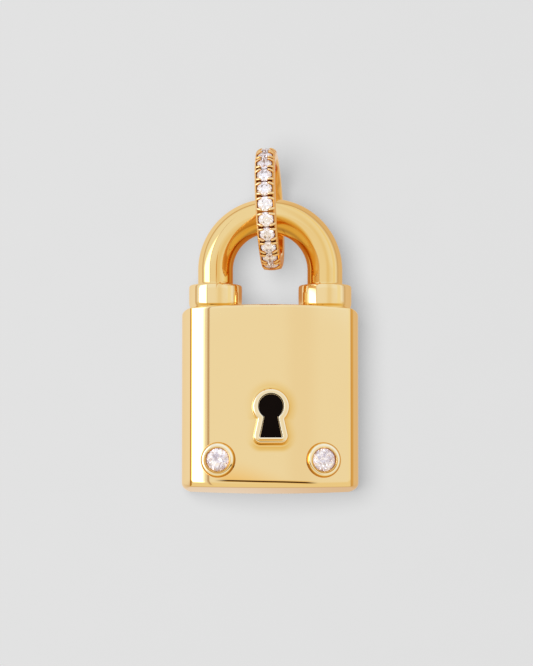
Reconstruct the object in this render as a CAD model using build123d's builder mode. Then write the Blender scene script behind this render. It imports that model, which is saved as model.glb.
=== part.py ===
from build123d import *
import math
import os
from typing import NamedTuple

# The pendant lies on its back: Z is up, Y runs to the shackle's end, X is the viewer's right.
# All sizes are in millimetres and all angles in degrees.

# Case of the lock
case_width = 17.0
case_height = 17.6
case_side_bulge = 0.85
case_side_height = 5.25
case_crown_rise = 1.35
case_end_bow = 0.22
case_corner_radius = 0.62
case_face_edge_radius = 0.14
case_back_edge_radius = 0.3

# Shackle and the two collars that hold its legs
shackle_wire = 3.37
shackle_side_inset = 3.23
shackle_rise = 3.6
collar_diameter = 5.1
collar_height = 2.1
collar_shoulder = 0.45
collar_root = 1.0
socket_depth = 1.6
socket_clearance = 0.05

# Keyhole, its raised rim and the black inlay
keyhole_head_radius = 1.2
keyhole_head_height = 7.8
keyhole_neck_drop = 1.0
keyhole_neck_width = 1.32
keyhole_foot_drop = 3.0
keyhole_foot_width = 2.14
keyhole_foot_radius = 0.14
keyhole_depth = 0.95
rim_width = 0.55
rim_rise = 0.3
rim_edge_radius = 0.13
inlay_recess = 0.4
inlay_clearance = 0.03

# Two stones in bezels near the foot of the case
bezel_side_inset = 2.6
bezel_foot_height = 2.7
bezel_base_radius = 1.7
bezel_top_radius = 1.45
bezel_mouth_radius = 1.12
bezel_rise = 0.36
bezel_root = 0.9
bezel_stone_diameter = 2.16
bezel_stone_sink = 0.2

# Ring that the chain passes through
bail_diameter = 11.64
bail_clearance = 0.45
bail_width = 1.94
bail_edge_radius = 0.13
bail_lean = 5.6
bail_yaw = 2.7
bail_shift_across = -0.12
bail_shift_along = 0.3

# Row of stones on the near half of the ring
pave_stone_count = 12
pave_stone_diameter = 1.4
pave_stone_sink = 0.16
pave_pitch = 15.0
pave_turn = -6.5
channel_width = 1.66
channel_depth = 0.5
prong_length = 0.5
prong_thickness = 0.17
prong_spacing = 0.32
prong_rise = 0.03
prong_root = 0.1

# Fit of every stone in its seat
stone_clearance = 0.03


class FacetRow(NamedTuple):
    """One ring of equal facets: their slope, number, first direction and distance from the axis at the girdle."""

    slope: float
    count: int
    first_direction: float
    reach: float


# Shares of a stone's girdle diameter, and its rows of facets with reaches as shares of the girdle radius
crown_share = 0.15
girdle_share = 0.03
pavilion_share = 0.432
girdle_sides = 32
near_reach = math.cos(math.radians(11.25))
crown_rows = (
    FacetRow(slope=34.5, count=8, first_direction=0.0, reach=1.0),
    FacetRow(slope=41.5, count=16, first_direction=11.25, reach=near_reach),
)
star_row = FacetRow(slope=22.0, count=8, first_direction=22.5, reach=0.521)
pavilion_rows = (
    FacetRow(slope=40.8, count=8, first_direction=0.0, reach=1.0),
    FacetRow(slope=42.2, count=16, first_direction=11.25, reach=near_reach),
)

# Widths and spacings that follow the case
case_face_width = case_width - 2 * case_side_bulge
shackle_radius = case_width / 2 - shackle_side_inset
bezel_spacing = case_face_width - 2 * bezel_side_inset

# Heights above the surface that the pendant lies on
case_thickness = case_side_height + case_crown_rise
shackle_height = case_thickness / 2
crown_radius = ((case_face_width / 2) ** 2 + case_crown_rise**2) / (2 * case_crown_rise)
crown_centre_height = case_thickness - crown_radius
rim_top_height = case_thickness + rim_rise

# The ring stands on the surface, leaning to the left and turned a little about the upright
bail_radius = bail_diameter / 2
bail_axis = Vector(1, 0, 0).rotate(Axis.Y, -bail_lean).rotate(Axis.Z, bail_yaw)
bail_up = Vector(0, 0, 1).rotate(Axis.Y, -bail_lean).rotate(Axis.Z, bail_yaw)


def bail_extent(share_along_axis):
    """Half the size of the rounded ring in a direction that has this share along the ring's axis."""
    across = (bail_radius - bail_edge_radius) * math.sqrt(1 - share_along_axis**2)
    along = (bail_width / 2 - bail_edge_radius) * abs(share_along_axis)
    return across + along + bail_edge_radius


bail_height = bail_extent(bail_axis.Z)
bail_rise = math.hypot(bail_height - shackle_height, bail_shift_along)
bail_inner_radius = bail_rise + shackle_wire / 2 + bail_clearance
bail_thickness = bail_radius - bail_inner_radius

# Places along Y, with the middle of the whole pendant at the origin
apex_above_case = shackle_rise + shackle_radius
overall_length = case_height + apex_above_case + bail_shift_along + bail_extent(bail_axis.Y)
case_foot = -overall_length / 2
case_top = case_foot + case_height
case_middle = case_foot + case_height / 2
collar_top = case_top + collar_height
shackle_centre = case_top + shackle_rise
shackle_apex = case_top + apex_above_case
bail_centre = Vector(bail_shift_across, shackle_apex + bail_shift_along, bail_height)

socket_floor = collar_top - socket_depth
channel_floor_radius = bail_radius - channel_depth
pave_arc = pave_pitch * pave_stone_count


def facet_plane(row, number, radius, level, upward):
    """Plane of one facet of a row, with its normal out of the stone."""
    direction = math.radians(row.first_direction + 360 * number / row.count)
    slope = math.radians(row.slope)
    reach = row.reach * radius
    point = Vector(reach * math.cos(direction), reach * math.sin(direction), level)
    rise = math.cos(slope) if upward else -math.cos(slope)
    normal = Vector(math.sin(slope) * math.cos(direction), math.sin(slope) * math.sin(direction), rise)
    return Plane(origin=point, z_dir=normal)


def round_brilliant(diameter):
    """Round brilliant cut stone with its girdle's upper edge on the XY plane and its table towards +Z."""
    radius = diameter / 2
    table_level = crown_share * diameter
    girdle_level = -girdle_share * diameter
    culet_level = girdle_level - pavilion_share * diameter
    with BuildPart() as cut:
        with BuildSketch(Plane.XY.offset(culet_level)):
            RegularPolygon(radius, girdle_sides)
        extrude(amount=table_level - culet_level)
        for row in crown_rows:
            for number in range(row.count):
                split(bisect_by=facet_plane(row, number, radius, 0, True), keep=Keep.BOTTOM)
        for number in range(star_row.count):
            split(bisect_by=facet_plane(star_row, number, radius, table_level, True), keep=Keep.BOTTOM)
        for row in pavilion_rows:
            for number in range(row.count):
                split(bisect_by=facet_plane(row, number, radius, girdle_level, False), keep=Keep.BOTTOM)
    return cut.part


def stone_seat(diameter, mouth_radius, mouth_level):
    """Space for a stone: a mouth over the girdle, a straight wall round it and a cone under it."""
    wall_radius = diameter / 2 + stone_clearance
    wall_foot = -girdle_share * diameter - stone_clearance
    cone_foot = wall_foot - pavilion_share * diameter - stone_clearance
    with BuildPart() as seat:
        with BuildSketch(Plane.XZ):
            with BuildLine():
                Polyline(
                    (0, cone_foot),
                    (wall_radius, wall_foot),
                    (wall_radius, stone_clearance),
                    (mouth_radius, mouth_level),
                    (0, mouth_level),
                    close=True,
                )
            make_face()
        revolve(axis=Axis.Z)
    return seat.part


def keyhole_sketch(height):
    """Outline of the keyhole on the level given: a round head over a foot that widens downwards."""
    head = case_foot + keyhole_head_height
    neck = head - keyhole_neck_drop
    foot = head - keyhole_foot_drop
    with BuildSketch(Plane.XY.offset(height)) as outline:
        with BuildLine():
            Polyline(
                (-keyhole_neck_width / 2, neck),
                (keyhole_neck_width / 2, neck),
                (keyhole_foot_width / 2, foot),
                (-keyhole_foot_width / 2, foot),
                close=True,
            )
        make_face()
        fillet(outline.vertices().group_by(Axis.Y)[0], keyhole_foot_radius)
        with Locations((0, head)):
            Circle(keyhole_head_radius)
    return outline.sketch


def bezel_plane(side):
    """Plane on the crowned face at one bezel, with its Z square to the face."""
    across = side * bezel_spacing / 2
    upright = math.sqrt(crown_radius**2 - across**2)
    point = (across, case_foot + bezel_foot_height, crown_centre_height + upright)
    return Plane(origin=point, x_dir=(0, 1, 0), z_dir=(across, 0, upright))


def bezel_stone_plane(side):
    """Plane of a bezel stone's upper girdle edge."""
    return bezel_plane(side).offset(bezel_rise - bezel_stone_sink)


def bail_plane(angle, radius):
    """Plane at a point of the ring, with Z outwards and X along the ring's axis; angle 0 is the near side."""
    outward = bail_up.rotate(Axis((0, 0, 0), bail_axis), angle)
    return Plane(origin=bail_centre + outward * radius, x_dir=bail_axis, z_dir=outward)


def bail_section(angle):
    """Plane through the ring's axis, with X outwards and Y along the axis."""
    outward = bail_up.rotate(Axis((0, 0, 0), bail_axis), angle)
    return Plane(origin=bail_centre, x_dir=outward, z_dir=outward.cross(bail_axis))


def pave_plane(number):
    """Plane of one small stone's upper girdle edge, counted from the end away from the case."""
    angle = (number + 0.5) * pave_pitch - pave_arc / 2 + pave_turn
    return bail_plane(angle, bail_radius - pave_stone_sink)


def case_body():
    """Case: cushion sides, bowed ends and a front face crowned across its width."""
    half_face = case_face_width / 2
    side_middle = (case_width / 2, case_side_height / 2)
    with BuildPart() as body:
        with BuildSketch(Plane.XZ.offset(-case_middle)):
            with BuildLine():
                base = Line((-half_face, 0), (half_face, 0))
                right = ThreePointArc(base @ 1, side_middle, (half_face, case_side_height))
                crown = ThreePointArc(right @ 1, (0, case_thickness), (-half_face, case_side_height))
                ThreePointArc(crown @ 1, (-side_middle[0], side_middle[1]), base @ 0)
            make_face()
        extrude(amount=case_height, both=True)
        with BuildSketch(Plane.XY) as outline:
            with BuildLine():
                half_width = case_width / 2
                foot_end = case_foot + case_end_bow
                top_end = case_top - case_end_bow
                foot = ThreePointArc((-half_width, foot_end), (0, case_foot), (half_width, foot_end))
                edge = Line(foot @ 1, (half_width, top_end))
                top = ThreePointArc(edge @ 1, (0, case_top), (-half_width, top_end))
                Line(top @ 1, foot @ 0)
            make_face()
            fillet(outline.vertices(), case_corner_radius)
        extrude(amount=case_thickness, mode=Mode.INTERSECT)
        fillet(body.faces().sort_by(Axis.Z)[-1].edges(), case_face_edge_radius)
        fillet(body.faces().sort_by(Axis.Z)[0].edges(), case_back_edge_radius)
    return body.part


def collar_plane(side, along):
    """Plane square to a leg of the shackle, with Z towards the shackle's arch."""
    return Plane(origin=(side * shackle_radius, along, shackle_height), x_dir=(1, 0, 0), z_dir=(0, 1, 0))


def collars():
    """Two round collars with a soft shoulder."""
    with BuildPart() as pair:
        with BuildSketch(collar_plane(-1, case_top - collar_root), collar_plane(1, case_top - collar_root)):
            Circle(collar_diameter / 2)
        extrude(amount=collar_root + collar_height)
        fillet(pair.edges().group_by(Axis.Y)[-1], collar_shoulder)
    return pair.part


def keyhole_rim():
    """Raised band round the keyhole, solid inside until the keyhole is cut."""
    with BuildPart() as rim:
        with BuildSketch(Plane.XY.offset(rim_top_height)) as band:
            add(keyhole_sketch(rim_top_height))
            offset(amount=rim_width)
        extrude(amount=-(rim_rise + keyhole_depth))
        fillet(rim.faces().sort_by(Axis.Z)[-1].edges(), rim_edge_radius)
    return rim.part


def bezel_cup():
    """Bezel on the XY plane: a round wall with a soft outer shoulder, solid until the seat is cut."""
    with BuildPart() as cup:
        with BuildSketch(Plane.XZ):
            with BuildLine():
                wall = Polyline((0, bezel_rise), (0, -bezel_root), (bezel_base_radius, -bezel_root))
                Line(wall @ 1, (bezel_base_radius, 0))
                shoulder_width = bezel_base_radius - bezel_top_radius
                shoulder = EllipticalCenterArc((bezel_top_radius, 0), shoulder_width, bezel_rise, arc_size=90)
                Line(shoulder @ 1, wall @ 0)
            make_face()
        revolve(axis=Axis.Z)
    return cup.part


def make_case():
    """Lock case in one piece of metal with its collars, keyhole rim and bezels."""
    bezel_seat = stone_seat(bezel_stone_diameter, bezel_mouth_radius, bezel_stone_sink)
    with BuildPart() as case:
        add(case_body())
        add(collars())
        add(keyhole_rim())
        with Locations(bezel_plane(-1), bezel_plane(1)):
            add(bezel_cup())
        with Locations(bezel_stone_plane(-1), bezel_stone_plane(1)):
            add(bezel_seat, mode=Mode.SUBTRACT)
        add(keyhole_sketch(rim_top_height))
        extrude(amount=-keyhole_depth, mode=Mode.SUBTRACT)
        with BuildSketch(collar_plane(-1, socket_floor), collar_plane(1, socket_floor)):
            Circle(shackle_wire / 2 + socket_clearance)
        extrude(amount=socket_depth, mode=Mode.SUBTRACT)
    return case.part


def make_shackle():
    """Shackle: one round wire bent over a half circle, its legs standing in the collars."""
    leg_foot = socket_floor + socket_clearance
    with BuildPart() as shackle:
        with BuildLine(Plane.XY.offset(shackle_height)):
            left = Line((-shackle_radius, leg_foot), (-shackle_radius, shackle_centre))
            arch = ThreePointArc(left @ 1, (0, shackle_apex), (shackle_radius, shackle_centre))
            Line(arch @ 1, (shackle_radius, leg_foot))
        with BuildSketch(collar_plane(-1, leg_foot)):
            Circle(shackle_wire / 2)
        sweep()
    return shackle.part


def make_inlay():
    """Black inlay that fills the keyhole to just below its rim."""
    with BuildPart() as inlay:
        with BuildSketch(Plane.XY.offset(rim_top_height - inlay_recess)):
            add(keyhole_sketch(rim_top_height - inlay_recess))
            offset(amount=-inlay_clearance)
        extrude(amount=-(keyhole_depth - inlay_recess - inlay_clearance))
    return inlay.part


def make_bail_ring():
    """Ring with a channel on its near half, in which pairs of prongs stand between the stones' seats."""
    bail_line = Axis(bail_centre, bail_axis)
    gap_angles = [number * pave_pitch - pave_arc / 2 + pave_turn for number in range(pave_stone_count + 1)]
    prong_across = channel_width - prong_length + prong_root
    seat_mouth = pave_stone_sink + prong_rise
    seat = stone_seat(pave_stone_diameter, pave_stone_diameter / 2 + stone_clearance, seat_mouth)
    with BuildPart() as ring:
        with BuildSketch(bail_section(0)):
            with Locations(((bail_inner_radius + bail_radius) / 2, 0)):
                RectangleRounded(bail_thickness, bail_width, bail_edge_radius)
        revolve(axis=bail_line)
        with BuildSketch(bail_section(pave_turn - (pave_arc + prong_spacing) / 2)):
            with Locations((channel_floor_radius, 0)):
                Rectangle(2 * channel_depth, channel_width, align=(Align.MIN, Align.CENTER))
        revolve(axis=bail_line, revolution_arc=pave_arc + prong_spacing, mode=Mode.SUBTRACT)
        with Locations(*[bail_plane(angle, bail_radius + prong_rise) for angle in gap_angles]):
            with GridLocations(prong_across, prong_spacing, 2, 2):
                Box(
                    prong_length + prong_root,
                    prong_thickness,
                    channel_depth + prong_rise + prong_root,
                    align=(Align.CENTER, Align.CENTER, Align.MAX),
                )
        with Locations(*[pave_plane(number) for number in range(pave_stone_count)]):
            add(seat, mode=Mode.SUBTRACT)
    return ring.part


def make_stone(cut, plane):
    """One cut stone set on its plane."""
    with BuildPart() as stone:
        with Locations(plane):
            add(cut)
    return stone.part


def write_piece(piece, name):
    """Labels a finished piece and writes it to its own file."""
    piece.label = name
    export_step(piece, f"parts/{name}.step")


def main():
    os.makedirs("parts", exist_ok=True)
    write_piece(make_case(), "case")
    write_piece(make_shackle(), "shackle")
    write_piece(make_inlay(), "keyhole_inlay")
    write_piece(make_bail_ring(), "bail_ring")
    bezel_cut = round_brilliant(bezel_stone_diameter)
    write_piece(make_stone(bezel_cut, bezel_stone_plane(-1)), "bezel_stone_left")
    write_piece(make_stone(bezel_cut, bezel_stone_plane(1)), "bezel_stone_right")
    pave_cut = round_brilliant(pave_stone_diameter)
    for number in range(pave_stone_count):
        write_piece(make_stone(pave_cut, pave_plane(number)), f"pave_stone_{number + 1:02d}")


main()
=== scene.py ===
"""Looks of the padlock pendant: polished gold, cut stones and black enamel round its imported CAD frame."""
import math

import bpy
import numpy as np
from mathutils import Matrix, Vector
from mathutils.geometry import delaunay_2d_cdt


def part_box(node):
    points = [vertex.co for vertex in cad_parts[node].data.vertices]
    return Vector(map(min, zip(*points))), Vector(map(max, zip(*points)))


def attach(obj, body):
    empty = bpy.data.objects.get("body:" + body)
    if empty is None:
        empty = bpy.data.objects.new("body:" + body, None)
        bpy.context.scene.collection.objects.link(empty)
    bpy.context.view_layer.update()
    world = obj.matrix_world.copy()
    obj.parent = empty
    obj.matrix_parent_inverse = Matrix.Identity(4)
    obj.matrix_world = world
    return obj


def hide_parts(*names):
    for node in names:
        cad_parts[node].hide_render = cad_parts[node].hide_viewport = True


bl_info = {
    "name": "Padlock Pendant",
    "version": (1, 0, 0),
    "blender": (4, 5, 0),
    "location": "3D View > Sidebar > Pendant",
    "description": "Makes the polished metal, stones and stage of a padlock pendant round its CAD frame",
    "category": "Object",
}

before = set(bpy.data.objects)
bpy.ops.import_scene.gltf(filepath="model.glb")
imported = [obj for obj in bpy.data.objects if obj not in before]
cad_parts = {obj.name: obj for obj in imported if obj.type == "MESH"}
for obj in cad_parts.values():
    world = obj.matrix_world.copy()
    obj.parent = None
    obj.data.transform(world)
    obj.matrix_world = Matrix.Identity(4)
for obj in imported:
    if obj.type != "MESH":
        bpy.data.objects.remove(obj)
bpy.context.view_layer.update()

MILLIMETRE = 0.001

# Boxes of the CAD nodes in millimetres, which give every piece its place
case_low, case_high = (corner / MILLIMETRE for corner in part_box("case"))
wire_low, wire_high = (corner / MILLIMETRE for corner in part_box("shackle"))
ring_low, ring_high = (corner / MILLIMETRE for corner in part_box("bail_ring"))
inlay_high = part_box("keyhole_inlay")[1] / MILLIMETRE


def number_setting(name, default, low, high, description, **more):
    """Number that the sidebar shows."""
    return bpy.props.FloatProperty(
        name=name, description=description, default=default, min=low, max=high, **more)


def colour_setting(name, default, description):
    """Colour that the sidebar shows."""
    return bpy.props.FloatVectorProperty(
        name=name, description=description, default=default, subtype="COLOR", size=3, min=0.0, max=1.0)


class PendantSizes(bpy.types.PropertyGroup):
    """Sizes in millimetres that shape the metal beyond what the frame fixes"""

    crown_rise: number_setting(
        "Crown Rise", 1.59, 0.2, 3.0, "How far the front rises from its side creases to its middle line")
    crown_power: number_setting(
        "Crown Power", 2.3, 2.0, 4.0, "2 is an even arch, more is flatter in the middle and steeper outside")
    end_roll: number_setting(
        "Foot Roll", 0.75, 0.1, 2.0, "Width of the strip along the foot in which the front rolls down")
    end_ease: number_setting(
        "End Ease", 2.6, 0.5, 5.0, "Width of the faint fall of the front towards each end")
    end_roll_slope: number_setting(
        "Foot Roll Slope", 0.42, 0.0, 1.0, "Slope of the front at the foot, as rise over run")
    top_roll: number_setting(
        "Top Roll", 0.3, 0.05, 2.0, "Width of the narrower roll along the end by the shackle")
    top_roll_slope: number_setting(
        "Top Roll Slope", 0.18, 0.0, 1.0, "Slope of the front at the end by the shackle, as rise over run")
    foot_lean: number_setting(
        "Foot Lean", 0.18, 0.0, 0.5, "How much further out the foot's wall stands at its back than in front")
    face_edge: number_setting(
        "Face Edge", 0.13, 0.02, 0.5, "Size of the rounding between the front and the sides")
    back_edge: number_setting(
        "Back Edge", 0.3, 0.05, 1.0, "Size of the rounding round the back")
    rim_width: number_setting(
        "Keyhole Rim Width", 0.5, 0.2, 1.0, "Width of the flat and rounded top of the keyhole's rim")
    rim_rise: number_setting(
        "Keyhole Rim Rise", 0.3, 0.05, 0.6, "Height of the rim over the front")
    collar_barrel: number_setting(
        "Collar Barrel", 0.09, 0.0, 0.3, "How far a collar draws in towards the case")
    leg_fillet: number_setting(
        "Leg Fillet", 0.24, 0.05, 0.5, "Solder fillet where a leg enters its collar")
    grain_height: number_setting(
        "Grain Height", 0.19, 0.02, 0.3, "How far the grains of metal stand over the stones' edges")


class PendantColours(bpy.types.PropertyGroup):
    """Colours and finish of the pendant's materials"""

    gold: colour_setting("Gold", (0.94, 0.735, 0.385), "Colour of the polished yellow gold")
    # Painted highlight: paler gold painted on narrow edges, where they catch the light
    painted_highlight: colour_setting(
        "Gold, Highlighted", (1.0, 0.95, 0.78), "Colour of narrow edges that are shown bright")
    mirrorings: number_setting(
        "Mirrorings", 2.0, 0.0, 6.0, "How many more times light has met gold where it leaves a hollow")
    # Painted dark shade: the colour painted along creases, between parts and in the deepest painted shade
    painted_dark_shade: colour_setting("Seam", (0.17, 0.055, 0.018), "Colour of seams and of the deepest hollows")
    ring_gold: colour_setting("Ring Gold", (0.9, 0.61, 0.27), "Colour of the ring's slightly redder gold")
    stone: colour_setting("Stone", (0.99, 0.965, 0.985), "Body colour of the cut stones")
    enamel: colour_setting("Enamel", (0.004, 0.0025, 0.0018), "Colour of the keyhole's black enamel")
    floor: colour_setting("Floor", (0.8, 0.8, 0.8), "Colour of the pale floor")


class PendantStudio(bpy.types.PropertyGroup):
    """Strength of the studio's light"""

    room: number_setting("Room Light", 0.515, 0.0, 3.0, "Brightness of the even light of the room")
    key: number_setting(
        "Key Light", 5.2, 0.0, 50.0, "Power of the soft light from the upper left", subtype="POWER")


# Surfaces


def link(name, data):
    """Adds an object to the scene."""
    made = bpy.data.objects.new(name, data)
    bpy.context.scene.collection.objects.link(made)
    return made


class Form:
    """Points in millimetres, faces and exact normals of one piece while it is made."""

    def __init__(self):
        self.points = []
        self.normals = []
        self.shades = []
        self.faces = []

    def add_points(self, points, normals, shades=0.0):
        """Adds points; a shade over 0 paints a highlight, under 0 shade, under -1 a dark line and under -2
        black.
        """
        first = len(self.points)
        self.points += [tuple(point) for point in points]
        self.normals += [tuple(normal) for normal in normals]
        self.shades += [float(shade) for shade in np.broadcast_to(shades, len(points))]
        return first

    def add_rounds(self, points, normals, shades, turn=False):
        """Adds a grid whose rows follow one another once round, with the faces between them."""
        rows, columns = points.shape[:2]
        shades = np.broadcast_to(shades, (rows, columns)).reshape(-1)
        first = self.add_points(points.reshape(-1, 3), normals.reshape(-1, 3), shades)
        for i in range(rows):
            for j in range(columns - 1):
                a, b = first + i * columns + j, first + (i + 1) % rows * columns + j
                self.faces.append((a, a + 1, b + 1, b) if turn else (a, b, b + 1, a + 1))

    def add_surface(self, place, shade, around, along, turn=False):
        """Adds the surface that place(u, v) describes, closed in u, with normals from its own slopes."""
        u, v = np.meshgrid(around, along, indexing="ij")
        step = 1e-5
        slope_u = place(u + step, v) - place(u - step, v)
        slope_v = place(u, v + step) - place(u, v - step)
        normals = np.cross(slope_u, slope_v) * (-1 if turn else 1)
        lengths = np.linalg.norm(normals, axis=-1, keepdims=True)
        normals = np.where(lengths > 1e-14, normals / np.maximum(lengths, 1e-14), 0.0)
        self.add_rounds(place(u, v), normals, shade(u, v), turn)

    def make(self, name, body, material, nodes):
        """Makes the Blender piece, welding points that share a place and a normal."""
        kept, kept_points, kept_normals, kept_shades, index_of = {}, [], [], [], []
        places = [tuple(round(value, 5) for value in point) for point in self.points]
        for point, place, normal, shade in zip(self.points, places, self.normals, self.shades):
            key = place + tuple(round(value, 1) for value in normal)
            if key not in kept:
                kept[key] = len(kept_points)
                kept_points.append(Vector(point) * MILLIMETRE)
                kept_normals.append(normal)
                kept_shades.append(shade)
            index_of.append(kept[key])
        faces = []
        for face in self.faces:
            corners = [index_of[corner] for number, corner in enumerate(face)
                       if places[corner] != places[face[number - 1]]]
            if len(corners) > 2:
                faces.append(corners)
        mesh = bpy.data.meshes.new(name)
        mesh.from_pydata(kept_points, [], faces)
        mesh.shade_smooth()
        mesh.normals_split_custom_set_from_vertices(kept_normals)
        mesh.attributes.new("shade", "FLOAT", "POINT").data.foreach_set("value", kept_shades)
        mesh.materials.append(material)
        piece = link(name, mesh)
        piece.visible_diffuse = False
        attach(piece, body)
        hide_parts(*nodes)


def stack(x, y, z):
    """Points from their coordinates."""
    return np.stack(np.broadcast_arrays(x, y, z), axis=-1).astype(float)


def full_turn(count):
    """Angles evenly spaced once round."""
    return np.linspace(0, 2 * math.pi, count, endpoint=False)


def spread(start, end, count, lean=0.0):
    """Values from start to end, closer together at both ends when lean is more."""
    t = np.linspace(0, 1, count)
    eased = t * t * (3 - 2 * t)
    return start + (end - start) * (t * (1 - lean) + eased * lean)


def round_steps(values):
    """Joins lists of values and leaves out those that repeat."""
    joined = np.concatenate(values)
    keep = np.concatenate(([True], np.abs(np.diff(joined)) > 1e-9))
    return joined[keep]


class Profile:
    """Smooth outline of a section: its corners are rounded and its straight runs are kept."""

    def __init__(self, corners, roundings, steps=7):
        spots = [Vector(corner) for corner in corners]
        points = [spots[0]]
        for before, here, after, rounding in zip(spots, spots[1:], spots[2:], roundings):
            into, away = here - before, after - here
            reach = min(rounding, into.length * 0.49, away.length * 0.49)
            start, end = here - into.normalized() * reach, here + away.normalized() * reach
            for step in range(steps + 1):
                t = step / steps
                points.append(start * (1 - t) ** 2 + here * 2 * t * (1 - t) + end * t ** 2)
        points.append(spots[-1])
        points = np.array([tuple(point) for point in points])
        lengths = np.linalg.norm(np.diff(points, axis=0), axis=1)
        self.points = points[np.concatenate(([True], lengths > 1e-6))]
        lengths = np.linalg.norm(np.diff(self.points, axis=0), axis=1)
        self.distances = np.concatenate(([0.0], np.cumsum(lengths)))

    def at(self, distance):
        """Both coordinates at a distance along the outline."""
        return [np.interp(distance, self.distances, column) for column in self.points.T]

    def normals(self):
        """Normals at the points, each between those of the two runs that meet there."""
        runs = np.diff(self.points, axis=0)
        runs /= np.linalg.norm(runs, axis=1, keepdims=True)
        tangents = np.concatenate((runs[:1], runs[:-1] + runs[1:], runs[-1:]))
        tangents /= np.linalg.norm(tangents, axis=1, keepdims=True)
        return np.stack((-tangents[:, 1], tangents[:, 0]), axis=1)


def add_turned(form, profile, origin, x_dir, z_dir, segments=128, turn=False, shade=None):
    """Turns a profile of (radius, height) about the axis z_dir through origin."""
    origin, x_dir, z_dir = (np.array(tuple(v), float) for v in (origin, x_dir, z_dir))
    y_dir = np.cross(z_dir, x_dir)
    angles = full_turn(segments)
    outward = (np.outer(np.cos(angles), x_dir) + np.outer(np.sin(angles), y_dir))[:, None, :]
    radii, heights = profile.points[None, :, :1], profile.points[None, :, 1:]
    sides = profile.normals() * (1 if turn else -1)
    shades = shade(angles[:, None], profile.distances[None, :]) if shade else 0.0
    form.add_rounds(origin + outward * radii + z_dir * heights,
                    outward * sides[None, :, :1] + z_dir * sides[None, :, 1:], shades, turn)


# Shape of the case in millimetres, mostly the CAD's own sizes

CASE_FOOT = case_low.y
COLLAR_HEIGHT = 2.1
COLLAR_RADIUS = 2.55
CASE_TOP = case_high.y - COLLAR_HEIGHT
CASE_MIDDLE = (CASE_FOOT + CASE_TOP) / 2
HALF_HEIGHT = (CASE_TOP - CASE_FOOT) / 2
HALF_WIDTH = case_high.x
SIDE_BULGE = 0.85
HALF_FACE = HALF_WIDTH - SIDE_BULGE
END_BOW = 0.22
CAD_RIM_RISE = 0.3
THICKNESS = case_high.z - CAD_RIM_RISE
CROWN_RADIUS = 22.35
EASE_DROP = 0.024
FACE_CORNER = 0.1
CORNER_GROWTH = 0.5
WIRE_RADIUS = (wire_high.z - wire_low.z) / 2
WIRE_HEIGHT = (wire_high.z + wire_low.z) / 2
ARCH_RADIUS = wire_high.x - WIRE_RADIUS
ARCH_CENTRE = wire_high.y - WIRE_RADIUS - ARCH_RADIUS
KEYHOLE_HEAD = 1.22
KEYHOLE_Y = CASE_FOOT + 7.8
RIM_REACH = 1.5
BEZEL_ACROSS = 5.05
BEZEL_Y = CASE_FOOT + 2.7
BEZEL_HOLE = 1.3


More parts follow.
